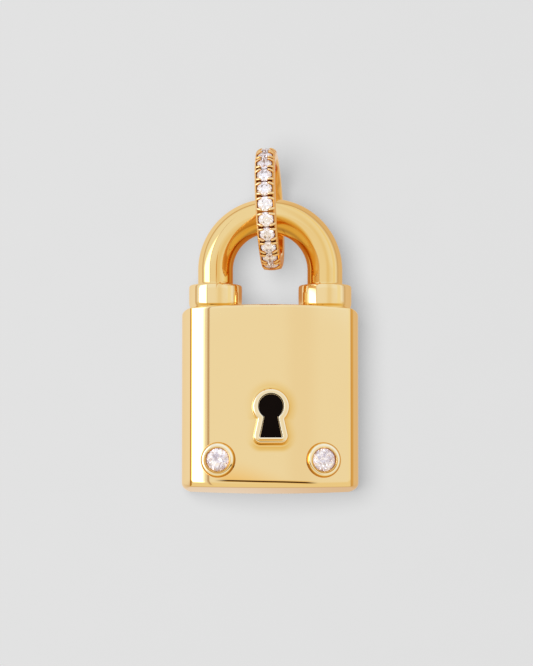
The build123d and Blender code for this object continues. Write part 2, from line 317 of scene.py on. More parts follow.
class CaseShape:
    """Heights and outlines of the case."""

    def __init__(self, sizes):
        self.sizes = sizes
        self.edge_slope = sizes.crown_rise * sizes.crown_power / HALF_FACE
        self.crease = THICKNESS - sizes.crown_rise
        middle = self.crease / 2
        bulge = HALF_WIDTH - HALF_FACE
        self.side_radius = (bulge ** 2 + middle ** 2) / (2 * bulge)
        self.side_angle = math.asin(middle / self.side_radius)

    def crown(self, x):
        """Height of the front's arch, before its ends roll down."""
        share = np.abs(x) / HALF_FACE
        return THICKNESS - self.sizes.crown_rise * share ** self.sizes.crown_power

    def end(self, x):
        """Distance of an end from the case's middle."""
        return HALF_HEIGHT - END_BOW * (x / HALF_WIDTH) ** 2

    def roll(self, x, y):
        """How far the front drops towards its ends."""
        inside = np.maximum(self.end(x) - np.abs(y - CASE_MIDDLE), 0)
        at_top = y > CASE_MIDDLE
        width = np.where(at_top, self.sizes.top_roll, self.sizes.end_roll)
        slope = np.where(at_top, self.sizes.top_roll_slope, self.sizes.end_roll_slope)
        share = 1 - np.minimum(inside / width, 1)
        ease = 1 - np.minimum(inside / self.sizes.end_ease, 1)
        return slope * width / 2 * share ** 2 + EASE_DROP * ease ** 2

    def front(self, x, y):
        """Height of the front."""
        return self.crown(x) - self.roll(x, y)

    def front_normals(self, x, y):
        """Normals of the front."""
        step = 1e-4
        slope_x = (self.crown(x + step) - self.crown(x - step)) / (2 * step)
        slope_y = -(self.roll(x, y + step) - self.roll(x, y - step)) / (2 * step)
        normals = stack(-slope_x, -slope_y, np.ones_like(slope_x))
        return normals / np.linalg.norm(normals, axis=-1, keepdims=True)

    def outline(self, u, width, inset, corner):
        """Outline of the case at one level; u runs once round in twelve parts, three to a quarter."""
        u = np.mod(u, 12.0)
        quarter = np.floor(u / 3).astype(int)
        s = np.where(quarter == 0, u, np.where(quarter == 1, 6 - u, np.where(quarter == 2, u - 6, 12 - u)))
        sign_x = np.where((quarter == 0) | (quarter == 3), 1.0, -1.0)
        sign_y = np.where((quarter == 0) | (quarter == 1), 1.0, -1.0)
        # The corner's arc meets the bowed end where their slopes agree
        lean = 0.0
        for _ in range(4):
            join = width - corner * (1 - np.sin(lean))
            lean = np.arctan(2 * END_BOW * join / HALF_WIDTH ** 2)
        centre_x = width - corner
        centre_y = self.end(join) - inset - corner * np.cos(lean)
        angle = np.clip(s - 1, 0, 1) * (math.pi / 2 - lean)
        end_x = join * np.clip(3 - s, 0, 1)
        x = np.where(s < 1, width, np.where(s < 2, centre_x + corner * np.cos(angle), end_x))
        y = np.where(s < 1, centre_y * s,
                     np.where(s < 2, centre_y + corner * np.sin(angle), self.end(end_x) - inset))
        to_end = np.clip(s - 1, 0, 1)
        return x * sign_x, y * sign_y + CASE_MIDDLE, to_end * to_end * (3 - 2 * to_end)

    def curve(self, t, start, start_way, end, end_way):
        """Smooth curve between two points that leaves and arrives in the ways given."""
        start, start_way, end, end_way = (np.array(v, float) for v in (start, start_way, end, end_way))
        handle = 0.38 * np.linalg.norm(end - start)
        one = start + start_way * handle
        two = end - end_way * handle
        t = t[..., None]
        return start * (1 - t) ** 3 + one * 3 * t * (1 - t) ** 2 + two * 3 * t * t * (1 - t) + end * t ** 3

    def side_profile(self, v):
        """Half width and height of the sides: back edge to 1, curved side to 2, face edge to 3."""
        sizes = self.sizes
        centre_x, centre_z, radius = HALF_WIDTH - self.side_radius, self.crease / 2, self.side_radius
        low = self.side_angle - sizes.back_edge / radius
        high = self.side_angle - sizes.face_edge / radius
        low_point = (centre_x + radius * math.cos(low), centre_z - radius * math.sin(low))
        high_point = (centre_x + radius * math.cos(high), centre_z + radius * math.sin(high))
        fall = math.atan(self.edge_slope)
        last_x = HALF_FACE - sizes.face_edge * math.cos(fall)
        back = self.curve(np.clip(v, 0, 1), (HALF_FACE - sizes.back_edge, 0), (1, 0),
                          low_point, (math.sin(low), math.cos(low)))
        angle = -low + (low + high) * np.clip(v - 1, 0, 1)
        side = np.stack((centre_x + radius * np.cos(angle), centre_z + radius * np.sin(angle)), axis=-1)
        edge = self.curve(np.clip(v - 2, 0, 1), high_point, (-math.sin(high), math.cos(high)),
                          (last_x, float(self.crown(last_x))), (-math.cos(fall), math.sin(fall)))
        chosen = np.where((v < 1)[..., None], back, np.where((v < 2)[..., None], side, edge))
        return chosen[..., 0], chosen[..., 1]

    def walls(self, u, v):
        """Surface of the sides and ends, from the back's flat to the front's edge."""
        foot = self.walls_for(u, v, self.sizes.end_roll_slope)
        top = self.walls_for(u, v, self.sizes.top_roll_slope)
        return np.where(foot[..., 1:2] > CASE_MIDDLE, top, foot)

    def wall_shade(self, u, v):
        """Painted shade: a dark line painted on the crease between the front and the sides, fading out round
        the corners.
        """
        u = np.mod(u, 12.0)
        s = np.mod(u, 6.0)
        along_side = 1 - np.clip((np.minimum(s, 6 - s) - 0.95) / 0.5, 0, 1)
        left = 1.6 * np.interp(v, (2.0, 2.25, 2.96, 3.0), (0, 1, 1, 0))
        right = 0.62 * np.interp(v, (1.9, 1.96, 2.2, 2.5), (0, 1, 0.8, 0))
        return -np.where((u > 3) & (u < 9), left, right) * along_side

    def walls_for(self, u, v, end_slope):
        """Surface of the sides and ends where the front falls to its ends with the slope given."""
        sizes = self.sizes
        width, side_z = self.side_profile(v)
        fall = math.atan(end_slope)
        back = self.curve(np.clip(v, 0, 1), (sizes.back_edge, 0), (-1, 0), (0, sizes.back_edge), (0, 1))
        edge = self.curve(np.clip(v - 2, 0, 1), (0, -sizes.face_edge), (0, 1),
                          (sizes.face_edge, sizes.face_edge * end_slope),
                          (math.cos(fall), math.sin(fall)))
        inset = np.where(v < 1, back[..., 0], np.where(v < 2, 0.0, edge[..., 0]))
        grow = np.clip((width - HALF_FACE) / (HALF_WIDTH - HALF_FACE), 0, 1)
        corner = FACE_CORNER + CORNER_GROWTH * grow ** 1.2
        x, y, to_end = self.outline(u, width, inset, corner)
        crown = self.crown(x)
        rise = np.clip(v - 1, 0, 1)
        y = y + sizes.foot_lean / HALF_HEIGHT * np.minimum(y - CASE_MIDDLE, 0) * (1 - rise)
        wall_z = sizes.back_edge + rise * (crown - sizes.face_edge - sizes.back_edge)
        edge_z = crown + edge[..., 1] - end_slope * edge[..., 0]
        end_z = np.where(v < 1, back[..., 1], np.where(v < 2, wall_z, edge_z))
        z = crown + (1 - to_end) * (side_z - self.crown(width)) + to_end * (end_z - crown)
        return stack(x, y, z - rise * rise * self.roll(x, y))


def keyhole_distance(x, y):
    """Distance outwards from the keyhole's edge: a round head over a foot that widens downwards."""
    head = np.hypot(x, y - KEYHOLE_Y) - KEYHOLE_HEAD
    neck_half, foot_half, corner = 0.68, 1.09, 0.13
    low, high = KEYHOLE_Y - 3.0, KEYHOLE_Y - 0.9
    half_tall = (high - low) / 2 - corner
    across, up = np.abs(x), y - (low + high) / 2
    bottom, top = foot_half - corner, neck_half - corner
    end_x = across - np.minimum(across, np.where(up < 0, bottom, top))
    end_y = np.abs(up) - half_tall
    run_x, run_y = top - bottom, 2 * half_tall
    share = ((top - across) * run_x + (half_tall - up) * run_y) / (run_x ** 2 + run_y ** 2)
    share = np.clip(share, 0, 1)
    side_x, side_y = across - top + run_x * share, up - half_tall + run_y * share
    inside = np.where((side_x < 0) & (end_y < 0), -1.0, 1.0)
    foot = inside * np.sqrt(np.minimum(end_x ** 2 + end_y ** 2, side_x ** 2 + side_y ** 2)) - corner
    soft = 0.12
    blend = np.clip(0.5 + 0.5 * (head - foot) / soft, 0, 1)
    return head * (1 - blend) + foot * blend - soft * blend * (1 - blend)


def keyhole_line(angles, offset):
    """Points of the line that keeps the offset given from the keyhole's edge, found by halving."""
    centre_y = KEYHOLE_Y - 1.02
    near = np.zeros_like(angles + offset)
    far = np.full_like(near, 6.0)
    for _ in range(40):
        middle = (near + far) / 2
        outside = keyhole_distance(middle * np.cos(angles), centre_y + middle * np.sin(angles)) > offset
        far = np.where(outside, middle, far)
        near = np.where(outside, near, middle)
    return far * np.cos(angles), centre_y + far * np.sin(angles)


def bezel_axes(side):
    """Place, X and Z directions of a bezel, square to the crown."""
    across = side * BEZEL_ACROSS
    depth = math.sqrt(CROWN_RADIUS ** 2 - across ** 2)
    origin = Vector((across, BEZEL_Y, THICKNESS - CROWN_RADIUS + depth))
    return origin, Vector((0, 1, 0)), Vector((across, 0, depth)).normalized()


def add_front(form, shape, wall_edge):
    """Adds the crowned front, cut away for the keyhole and under the bezels' stones."""
    rim_foot = keyhole_line(full_turn(300), RIM_REACH)
    loops = [[tuple(point) for point in wall_edge[:, :2]], list(zip(*rim_foot))]
    for side in (-1, 1):
        loops.append([(side * BEZEL_ACROSS + BEZEL_HOLE * math.cos(a), BEZEL_Y + BEZEL_HOLE * math.sin(a))
                      for a in full_turn(48)])
    spots, edges = [], []
    for loop in loops:
        first = len(spots)
        spots += [Vector(point) for point in loop]
        edges += [(first + n, first + (n + 1) % len(loop)) for n in range(len(loop))]
    last_x = max(point[0] for point in wall_edge)
    roll = shape.sizes.end_roll
    roll_rows = (0.27, 0.33, 0.4, 0.46, 0.54, 0.63, 0.72, 0.81, 0.9, 1.0)
    for x in np.linspace(-last_x, last_x, 63)[1:-1]:
        reach = float(shape.end(x))
        inner = np.linspace(0, reach - roll - 0.25, 34)
        for distance in list(inner) + [reach - roll * share for share in roll_rows]:
            for sign in ((1,) if distance == 0 else (-1, 1)):
                spots.append(Vector((x, CASE_MIDDLE + sign * distance)))
    found = delaunay_2d_cdt(spots, edges, [], 1, 1e-6, False)
    flat = np.array([tuple(place) for place in found[0]])
    x, y = flat.T
    first = form.add_points(stack(x, y, shape.front(x, y)), shape.front_normals(x, y))
    for face in found[2]:
        middle_x, middle_y = flat[list(face)].mean(axis=0)
        in_bezel = math.hypot(abs(middle_x) - BEZEL_ACROSS, middle_y - BEZEL_Y) < BEZEL_HOLE * 0.998
        if keyhole_distance(middle_x, middle_y) < RIM_REACH or in_bezel:
            continue
        a, b, c = (flat[corner] for corner in face[:3])
        turned = (b[0] - a[0]) * (c[1] - a[1]) - (b[1] - a[1]) * (c[0] - a[0]) < 0
        corners = [first + corner for corner in face]
        form.faces.append(tuple(reversed(corners)) if turned else tuple(corners))


def add_keyhole_rim(form, shape):
    """Adds the raised rim round the keyhole with its inner wall."""
    width, rise = shape.sizes.rim_width, shape.sizes.rim_rise
    ledge = inlay_high.z - THICKNESS - 0.01
    # Distance outwards from the keyhole's edge, height over the front
    profile = Profile(
        [(-0.03, ledge), (0.16, ledge), (0.0, rise), (width * 0.5, rise + 0.012), (width, rise - 0.02),
         (width + 0.07, 0.03), (width + 0.3, 0.0), (RIM_REACH - 0.25, 0.0), (RIM_REACH, 0.0)],
        [0.01, 0.07, 0.1, 0.1, 0.06, 0.1, 0.1], steps=6)
    offsets, heights = profile.points.T

    def place(u, v):
        """The rim is a little narrower on its upper side."""
        offset, height = profile.at(v)
        narrow = 0.11 * np.clip(np.sin(u), 0, 1) ** 3
        share = np.interp(offset, (0.03, width, width + 0.3, RIM_REACH), (0, 1, 1, 0))
        x, y = keyhole_line(u, offset - narrow * share)
        return stack(x, y, shape.front(x, y) + height)

    u, v = np.meshgrid(full_turn(300), profile.distances, indexing="ij")
    points = place(u, v)
    step = 1e-4
    along = place(u + step, v) - place(u - step, v)
    sides = profile.normals()
    outward = stack(along[..., 1], -along[..., 0], np.zeros_like(u))
    outward /= np.linalg.norm(outward, axis=-1, keepdims=True)
    normals = outward * sides[None, :, :1] + np.array((0, 0, 1.0)) * sides[None, :, 1:]
    tilt = shape.front_normals(points[..., 0], points[..., 1]) - np.array((0, 0, 1.0))
    normals = normals + tilt * np.abs(normals[..., 2:])
    normals /= np.linalg.norm(normals, axis=-1, keepdims=True)
    # Painted light and shade on the rim: painted highlights on its top and edges, painted black on its inner
    # wall and ledge, painted shade round its foot, darker toward the case's foot, and a painted dark line on
    # its top toward the case's foot
    footward = np.clip(-outward[..., 1], 0, 1) ** 3
    leftward = np.clip(-outward[..., 0], 0, 1) ** 2
    top = np.interp(offsets, (0.0, 0.02, 0.1, 0.16, width - 0.14, width - 0.06, width + 0.05, width + 0.09),
                    (0.6, 0.9, 0.6, 0.28, 0.28, 0.75, 0.75, 0.0))
    top = np.where(heights > rise - 0.09, top, np.where(offsets < 0.2, -3.0, top))
    foot = np.interp(offsets, (width, width + 0.1, width + 0.25, width + 0.5, width + 0.9),
                     (0, 1, 0.6, 0.25, 0))
    foot = foot * (1 - 0.75 * leftward)
    below = np.interp(offsets, (width, width + 0.08, width + 0.22, width + 0.3, width + 0.36, width + 0.42,
                                width + 0.56, width + 0.9), (0, 0.9, 0.95, 0.2, 0.15, 0.75, 0.5, 0))
    groove = np.interp(offsets, (0.15, 0.21, 0.29, 0.34), (0, 1, 1, 0))
    shades = top - 0.4 * foot * (1 - footward) - 0.9 * below * footward - 1.35 * groove * footward ** 2
    form.add_rounds(points, normals, shades, turn=True)


def add_bezels(form):
    """Adds the cups that hold the two large stones."""
    # Radius, height over the front
    bezel = Profile(
        [(0.02, -0.86), (1.11, 0.06), (1.11, 0.23), (1.19, 0.36), (1.44, 0.36), (1.66, 0.2), (1.72, -0.1),
         (1.8, -0.35)],
        [0.02, 0.05, 0.05, 0.09, 0.12, 0.1], steps=6)

    def bezel_shade(angle, distance, side):
        """Painted highlight on the edge, a painted dark line on the lower half, painted shade round the foot
        and toward the middle.
        """
        radius, _ = bezel.at(distance)
        low = np.clip(0.5 - 0.9 * np.cos(angle), 0, 1)
        flat = np.interp(radius, (1.1, 1.13, 1.2, 1.32, 1.38, 1.48, 1.53, 1.6, 1.7, 1.85),
                         (-1.0, -0.6, 0.2, 0.25, 0.75, 0.75, 0.0, -0.55, -0.5, 0.0))
        groove = np.interp(radius, (1.19, 1.23, 1.29, 1.33), (0, 1, 1, 0))
        outside = np.interp(radius, (1.52, 1.6, 1.7, 1.85), (0, 1, 1, 0))
        inward = np.clip(side * np.sin(angle), 0, 1)
        return flat - 1.9 * groove * low - outside * (0.45 * low + 0.65 * inward)

    for number in (-1, 1):
        add_turned(form, bezel, *bezel_axes(number), turn=True,
                   shade=lambda angle, distance, side=number: bezel_shade(angle, distance, side))


def add_collars(form, sizes):
    """Adds the two collars, which draw in towards the case."""
    heights = np.linspace(0, 1.65, 18)
    barrel = [(COLLAR_RADIUS - 0.2, -0.3), (COLLAR_RADIUS - sizes.collar_barrel - 0.03, -0.12)]
    for height in heights:
        share = (height - COLLAR_HEIGHT / 2) / (COLLAR_HEIGHT / 2)
        draw_in = sizes.collar_barrel * share ** 6 * (1.0 if share < 0 else 0.4)
        barrel.append((COLLAR_RADIUS - draw_in, height))
    barrel += [(COLLAR_RADIUS - 0.02, COLLAR_HEIGHT), (WIRE_RADIUS + 0.05, COLLAR_HEIGHT),
               (WIRE_RADIUS + 0.04, 1.2)]
    collar = Profile(barrel, [0.02] + [0.05] * len(heights) + [0.42, 0.03])

    def collar_shade(angle, distance):
        """Painted shade: slightly deeper gold beside the middle of the front, and a painted dark line where
        the collar meets the case.
        """
        _, height = collar.at(distance)
        front = np.degrees(np.arctan2(np.cos(angle), -np.sin(angle)))
        streak = np.exp(-((front - 8) / 6.5) ** 2)
        painted_dark_line = np.interp(height, (-0.1, 0.02, 0.12, 0.2), (0, 1, 1, 0)) * np.exp(-((front - 2) / 40) ** 4)
        return -0.13 * streak - 0.7 * painted_dark_line

    for side in (-1, 1):
        add_turned(form, collar, (side * ARCH_RADIUS, CASE_TOP, WIRE_HEIGHT), (1, 0, 0), (0, 1, 0),
                   shade=collar_shade)


def add_case(form, shape):
    """Adds the case with its front, rim, bezels and collars."""
    quarter = round_steps([spread(0, 1, 12), spread(1, 2, 9), spread(2, 3, 16)])
    u = round_steps([quarter, 6 - quarter[::-1], 6 + quarter, 12 - quarter[::-1]])[:-1]
    v = round_steps([spread(0, 1, 7), spread(1, 1.9, 22, 0.5), np.linspace(1.9, 2, 5), spread(2, 3, 13)])
    form.add_surface(shape.walls, shape.wall_shade, u, v)
    back = shape.walls(u, np.zeros_like(u))
    first = form.add_points(back, [(0, 0, -1)] * len(back))
    form.faces.append(tuple(range(first + len(back) - 1, first - 1, -1)))
    add_front(form, shape, shape.walls(u, np.full_like(u, 3.0)))
    add_keyhole_rim(form, shape)
    add_bezels(form)
    add_collars(form, shape.sizes)


def add_shackle(form, sizes):
    """Adds the shackle: one round wire bent over a half circle, with solder fillets at its feet."""
    foot = case_high.y
    straight = ARCH_CENTRE - foot
    arch = math.pi * ARCH_RADIUS
    total = 2 * straight + arch

    def turn_at(v):
        """Angle that the wire has turned through, from 0 on the left leg to half a turn on the right."""
        return np.clip((v - straight) / ARCH_RADIUS, 0, math.pi)

    def place(u, v):
        """v runs along the wire from the left collar; beyond both ends the wire closes to a point."""
        from_end = np.minimum(v, total - v)
        share = np.clip(1 - from_end / sizes.leg_fillet, 0, 1)
        radius = WIRE_RADIUS + sizes.leg_fillet * 0.9 * (1 - np.sqrt(1 - (share * 0.985) ** 2))
        radius = np.where(from_end < -0.005, 0.0, radius)
        turn = turn_at(v)
        on_arch = ARCH_CENTRE + ARCH_RADIUS * np.sin(turn)
        centre_x = -ARCH_RADIUS * np.cos(turn)
        centre_y = np.where(v < straight, foot + v, np.where(v > straight + arch, foot + total - v, on_arch))
        outward_x, outward_y = -np.cos(turn), np.sin(turn)
        return stack(centre_x + radius * np.cos(u) * outward_x, centre_y + radius * np.cos(u) * outward_y,
                     WIRE_HEIGHT + radius * np.sin(u))

    def wire_shade(u, v):
        """Painted shade: deeper gold on the inner side of the bend, on its brink and beside the crest of each
        leg.
        """
        turn = turn_at(v)
        tilt = np.degrees(np.arctan2(-np.cos(turn) * np.cos(u), np.sin(u)))
        bend = np.sin(turn)
        inward = -np.cos(u)
        start = 0.5 * (1 - bend) ** 0.7
        inner = np.clip((inward - start) / 0.16, 0, 1) * np.clip(0.8 + 2.0 * np.sin(u), 0.3, 1)
        brink = 0.5 * np.exp(-((inward - 0.77) / 0.09) ** 2) * (np.sin(u) > 0)
        on_leg = np.clip(1.4 * np.abs(np.cos(turn)) - 0.2, 0, 1)
        crest = 0.16 * np.exp(-((tilt - 9) / 6.5) ** 2) * on_leg
        return -0.14 - (0.55 + 0.3 * bend) * inner - brink - crest

    half = round_steps([spread(0, sizes.leg_fillet, 9), spread(sizes.leg_fillet, straight, 6),
                        spread(straight, total / 2, 60)])
    along = round_steps([[-0.01], half, total - half[::-1], [total + 0.01]])
    form.add_surface(place, wire_shade, full_turn(128), along)


# Shape of the ring in millimetres and radians, mostly the CAD's own sizes

BAIL_LEAN = math.radians(5.6)
BAIL_YAW = math.radians(2.7)
BAIL_WIDTH = 1.94
RING_RADIUS = 5.82
RING_THICKNESS = 1.1
STONE_COUNT = 12
STONE_RADIUS = 0.7
STONE_SINK = 0.16
GIRDLE = 0.042
PAVILION = math.radians(40.8)
SEAT_GAP = 0.03
CONE_GAP = 0.04
PITCH = math.radians(15)
ROW_TURN = math.radians(-6.5)
ROW_MARGIN = 0.022
CHANNEL_END = 0.012
CHANNEL_HALF = 0.77
CHANNEL_DEPTH = 0.5
RAIL_DROP = 0.1

ring_centre = np.array(tuple((ring_low + ring_high) / 2))


def turned_about_upright(vector):
    """Turns a direction by the ring's small turn about the upright."""
    x, y, z = vector
    return np.array((x * math.cos(BAIL_YAW) - y * math.sin(BAIL_YAW),
                     x * math.sin(BAIL_YAW) + y * math.cos(BAIL_YAW), z))


ring_axis = turned_about_upright((math.cos(BAIL_LEAN), 0.0, math.sin(BAIL_LEAN)))
ring_up = turned_about_upright((-math.sin(BAIL_LEAN), 0.0, math.cos(BAIL_LEAN)))
ring_side = np.cross(ring_axis, ring_up)


def ring_place(angle, radius, across):
    """Point of the ring from its angle about its axis, its radius and its distance along the axis."""
    outward = np.cos(angle)[..., None] * ring_up + np.sin(angle)[..., None] * ring_side
    return ring_centre + outward * radius[..., None] + across[..., None] * ring_axis


def from_row(angle):
    """Angle counted from the middle of the row of stones, between half a turn each way."""
    return (angle - ROW_TURN + math.pi) % (2 * math.pi) - math.pi


def channel_floor(angle, across):
    """Radius of the channel's floor, with a cone sunk under each stone."""
    count_half = STONE_COUNT / 2
    number = np.clip(np.floor(angle / PITCH + count_half), 0, STONE_COUNT - 1)
    from_stone = (angle / PITCH + count_half - number - 0.5) * PITCH * RING_RADIUS
    distance = np.hypot(from_stone, across)
    seat = STONE_RADIUS + SEAT_GAP
    rim = RING_RADIUS - STONE_SINK - GIRDLE - CONE_GAP
    cone = rim - np.clip(seat - distance, 0, 1) * math.tan(PAVILION)
    return np.minimum(RING_RADIUS - CHANNEL_DEPTH, np.where(distance < seat, cone, RING_RADIUS))


def add_ring_band(form):
    """Adds the ring's band: plain on its far half, with a channel for the stones on the near half."""
    half = BAIL_WIDTH / 2
    reach = STONE_COUNT * PITCH / 2 + ROW_MARGIN
    # Distance along the ring's axis, height over its radius
    outer = Profile([(-CHANNEL_HALF, -RAIL_DROP), (-CHANNEL_HALF - 0.03, 0.02 - RAIL_DROP), (-half, -0.4),
                     (-half, -RING_THICKNESS), (0.0, -RING_THICKNESS)], [0.02, 0.36, 0.25])
    near = np.linspace(-reach, reach, STONE_COUNT * 22 + 1)
    far = np.linspace(reach + CHANNEL_END, 2 * math.pi - reach - CHANNEL_END, 71)
    angles = np.concatenate((near, far)) + ROW_TURN

    def beside_row(u, fade):
        """1 along the row of stones and 0 past its ends, with a fade as long as given."""
        return np.clip((reach - np.abs(from_row(u))) * RING_RADIUS / fade, 0, 1)

    def rail_shade(u, v):
        """Painted shade in a dark slit along the stones; inside, a painted highlight of paler gold on the far
        half and toward the case.
        """
        near_stones = beside_row(u, 0.2)
        caseward = np.clip(1.5 * np.sin(u), 0, 1)
        return (near_stones * np.interp(v, (0, 0.06, 0.16, 0.3), (-0.8, 0.0, 0.05, 0.0))
                + (1 - near_stones) * 0.4 * np.clip(v - 0.9, 0, 1)
                + 0.9 * caseward * np.clip((v - 0.8) / 0.4, 0, 1))

    for side in (-1, 1):
        def shell(u, v, side=side):
            """One half of the band, from the rail over the flank to the middle of the inside."""
            across, rise = outer.at(v)
            return ring_place(u, RING_RADIUS + rise, across * -side)

        form.add_surface(shell, rail_shade, angles, outer.distances, turn=side < 0)

    def floor(u, v):
        """v from -1 to 1 crosses the floor, beyond it climbs the channel's walls."""
        across = np.clip(v, -1, 1) * CHANNEL_HALF
        deep = channel_floor(from_row(u), across)
        climb = np.clip(np.abs(v) - 1, 0, 1)
        in_channel = np.where(np.abs(from_row(u)) <= reach + 0.001, 1.0, 0.0)
        radius = deep * (1 - climb) + (RING_RADIUS - RAIL_DROP) * climb
        plain = RING_RADIUS - RAIL_DROP * (across / CHANNEL_HALF) ** 2
        return ring_place(u, radius * in_channel + plain * (1 - in_channel), across)

    def floor_shade(u, v):
        """Painted shade between the stones, where the channel is deep."""
        return beside_row(u, 0.1) * np.interp(np.abs(v), (0, 1, 1.3, 2.0), (-1.5, -1.4, -1.2, -0.5))

    across = np.concatenate(([-2.0, -1.5, -1.001], np.linspace(-1, 1, 29), [1.001, 1.5, 2.0]))
    form.add_surface(floor, floor_shade, angles, across)


def add_grain(form, angle, across_sign, along_sign, sizes):
    """Adds one leaf-shaped grain that runs from the rail over the edge of the stone beside it."""
    # Distance along the ring's axis and round the ring, from the middle between two stones
    foot, tip = (CHANNEL_HALF + 0.17, 0.31), (0.27, 0.165)

    def place(u, v):
        """u goes round the grain, v from the rail to the tip."""
        ends = np.sqrt(np.clip(1 - (np.maximum(v - 0.7, 0) / 0.3) ** 2, 0, 1)
                       * np.clip(1 - (np.maximum(0.12 - v, 0) / 0.12) ** 2, 0, 1))
        half_thick = (0.2 - 0.085 * v) * ends
        height = sizes.grain_height * (1 - 0.5 * v * v) * ends
        across = across_sign * (foot[0] + (tip[0] - foot[0]) * v)
        along = along_sign * (foot[1] + (tip[1] - foot[1]) * v)
        lift = np.sin(u)
        drop = 0.3 * np.clip((np.abs(across) - 0.45) / 0.45, 0, 1) ** 1.3
        radius = RING_RADIUS - 0.03 - drop + np.where(lift > 0, height * lift, 0.5 * lift)
        swing = angle + (along + half_thick * np.cos(u)) / RING_RADIUS
        return ring_place(swing, radius, across)

    def grain_shade(u, v):
        """Painted highlight on the crest over painted shade on the flanks."""
        return np.interp(np.sin(u), (-1, -0.2, 0.1, 0.4, 0.7, 1), (-1.7, -1.5, -1.15, -0.55, 0, 0.3))

    along = round_steps([spread(0, 0.12, 5), np.linspace(0.12, 0.7, 6), spread(0.7, 1.0, 7)])
    form.add_surface(place, grain_shade, full_turn(24), along, turn=across_sign < 0)


# Materials


class Value:
    """An output socket that can be used in sums, differences and products."""

    def __init__(self, maker, socket):
        self.maker = maker
        self.socket = socket

    def math(self, operation, *others, clamp=False):
        """Any operation of the math node on this value and others."""
        return self.maker.node("ShaderNodeMath", {"operation": operation, "use_clamp": clamp},
                               dict(enumerate((self,) + others)))

    def __add__(self, other):
        return self.math("ADD", other)

    def __sub__(self, other):
        return self.math("SUBTRACT", other)

    def __rsub__(self, other):
        return self.maker.node("ShaderNodeMath", {"operation": "SUBTRACT"}, {0: other, 1: self})

    def __mul__(self, other):
        return self.math("MULTIPLY", other)

    __radd__ = __add__
    __rmul__ = __mul__

    def degrees_from(self, other):
        """Angle whose tangent is this value over the other."""
        return self.math("ARCTAN2", other) * (180 / math.pi)

    def between(self, low, high):
        """0 up to low, 1 from high, and smooth between them."""
        return self.maker.node("ShaderNodeMapRange", {"interpolation_type": "SMOOTHSTEP"},
                               {"Value": self, "From Min": low, "From Max": high})

    def within(self, start, low, high, end):
        """1 from low to high, 0 up to start and from end, and smooth between them."""
        return self.between(start, low) * (1 - self.between(high, end))


class Finish:
    """Makes the nodes of one material."""

    def __init__(self, name):
        self.material = bpy.data.materials.new(name)
        self.material.use_nodes = True
        self.tree = self.material.node_tree
        self.shader = self.tree.nodes["Principled BSDF"]

    def feed(self, socket, value):
        """Links a value to a socket, or sets a number, a vector or an opaque colour there."""
        if isinstance(value, Value):
            self.tree.links.new(value.socket, socket)
        elif socket.type == "RGBA":
            socket.default_value = (*value, 1.0)
        else:
            socket.default_value = value

    def node(self, kind, settings=None, inputs=None, output=0):
        """Adds a node of any kind and returns one of its outputs."""
        made = self.tree.nodes.new(kind)
        for setting, value in (settings or {}).items():
            setattr(made, setting, value)
        for name, value in (inputs or {}).items():
            self.feed(made.inputs[name], value)
        return Value(self, made.outputs[output])

    def place(self):
        """Place on the object, in metres."""
        return self.node("ShaderNodeTexCoord", output="Object")

    def coordinates(self, unit=MILLIMETRE):
        """X, Y and Z of the place on the object, counted in the unit given."""
        place = self.node("ShaderNodeVectorMath", {"operation": "SCALE"}, {0: self.place(), 3: 1 / unit})
        parts = self.node("ShaderNodeSeparateXYZ", None, {0: place})
        return [Value(self, part) for part in parts.socket.node.outputs]

    def noise(self, scale, detail, stretch=(1.0, 1.0, 1.0)):
        """Soft noise, with so many waves to the metre, drawn out along an axis where its stretch is less."""
        place = self.node("ShaderNodeVectorMath", {"operation": "MULTIPLY"}, {0: self.place(), 1: stretch})
        return self.node("ShaderNodeTexNoise", {"noise_dimensions": "3D"},
                         {"Vector": place, "Scale": scale, "Detail": detail, "Roughness": 0.5})

    def blend(self, share, one, two, kind="MIX"):
        """Colour that goes from one to two, or to their product, as share goes from 0 to 1."""
        return self.node("ShaderNodeMix", {"data_type": "RGBA", "blend_type": kind},
                         {0: share, 6: one, 7: two}, output=2)

    def bump(self, height, distance, strength):
        """Normal of a surface with the height given."""
        return self.node("ShaderNodeBump", None,
                         {"Strength": strength, "Distance": distance, "Height": height})

    def set(self, **sockets):
        """Feeds sockets of the shader, named with _ for spaces, and returns the material."""
        for name, value in sockets.items():
            self.feed(self.shader.inputs[name.replace("_", " ")], value)
        return self.material

    def give_out(self, colour, **sockets):
        """Makes a surface that gives out the colour and mirrors nothing."""
        return self.set(Base_Color=(0.0, 0.0, 0.0), Roughness=1.0, Specular_IOR_Level=0.0,
                        Emission_Color=colour, Emission_Strength=1.0, **sockets)


